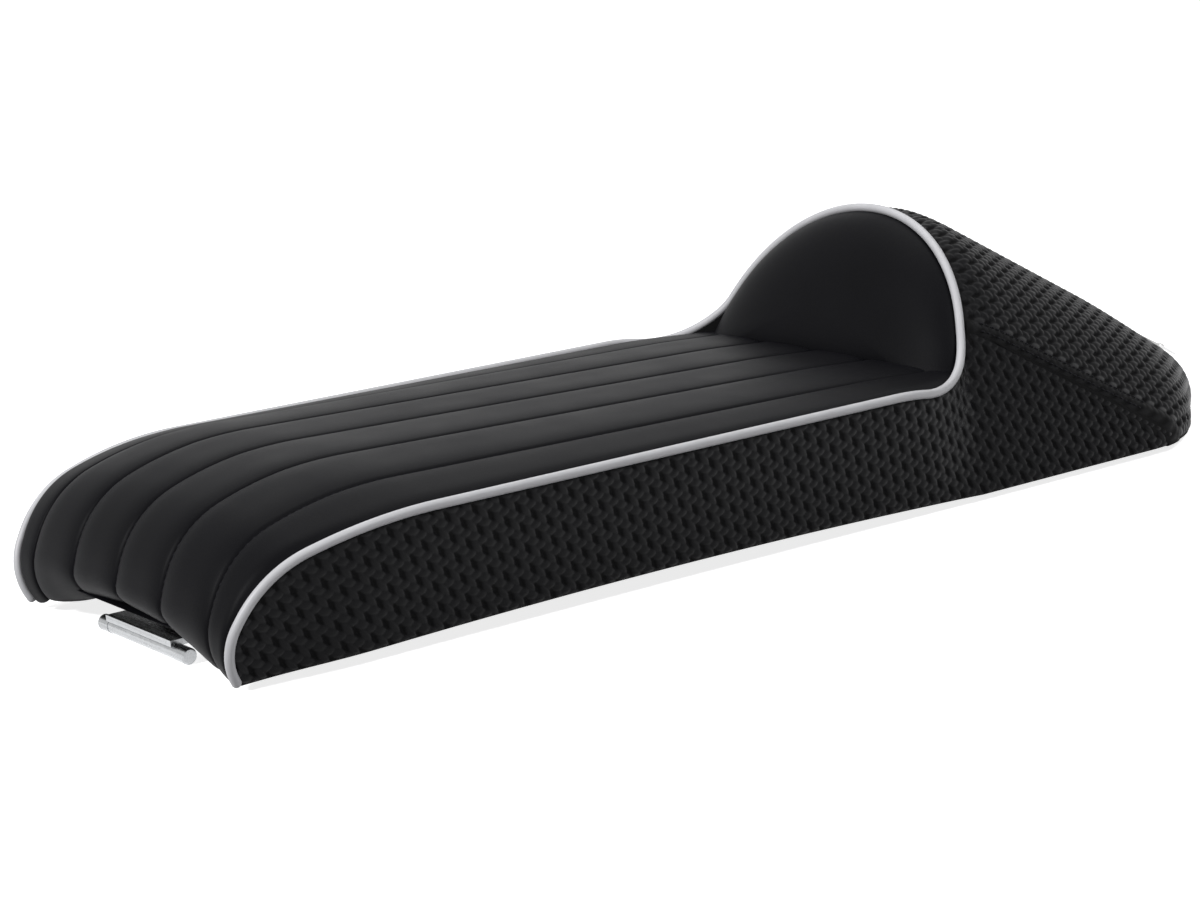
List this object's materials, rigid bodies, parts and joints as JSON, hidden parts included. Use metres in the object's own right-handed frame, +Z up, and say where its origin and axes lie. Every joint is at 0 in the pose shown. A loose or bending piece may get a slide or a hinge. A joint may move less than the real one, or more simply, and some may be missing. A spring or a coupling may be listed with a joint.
{
  "type": "scooter seat",
  "caption": "Slope-back scooter seat with a ribbed cushion, light piping, a padded bum stop and a sloping tail; a hinge pin at the front lets it tip on a scooter's frame.",
  "frame": {"origin": "centre of the hinge pin under the front lip", "axes": "+X forward, +Y to the rider's left along the hinge pin, +Z up"},
  "size_m": [0.7378, 0.2468, 0.1491],
  "materials": {
    "smooth_vinyl": "soft black leatherette with a fine grain",
    "woven_vinyl": "black vinyl embossed with a basket weave",
    "piping": "smooth light grey vinyl",
    "foam": "open-cell foam",
    "base_steel": "satin black paint",
    "zinc_steel": "zinc plated",
    "buffer_rubber": "matt black rubber",
    "badge_metal": "bright"
  },
  "bodies": {
    "root": {"top_cover": "smooth_vinyl", "backstop_cover": "smooth_vinyl", "side_cover_left": "woven_vinyl", "side_cover_right": "woven_vinyl", "tail_cover": "woven_vinyl", "piping": "piping", "seat_foam": "foam", "hump_foam": "foam", "stop_pad": "foam", "seat_pan": "base_steel", "hinge_pin": "zinc_steel", "hinge_plate": "zinc_steel", "hinge_bolts": "zinc_steel", "hinge_nuts": "zinc_steel", "buffer_front_left": "buffer_rubber", "buffer_front_right": "buffer_rubber", "buffer_rear_left": "buffer_rubber", "buffer_rear_right": "buffer_rubber", "badge_plate": "badge_metal", "badge_rivets": "badge_metal"}
  },
  "joints": []
}
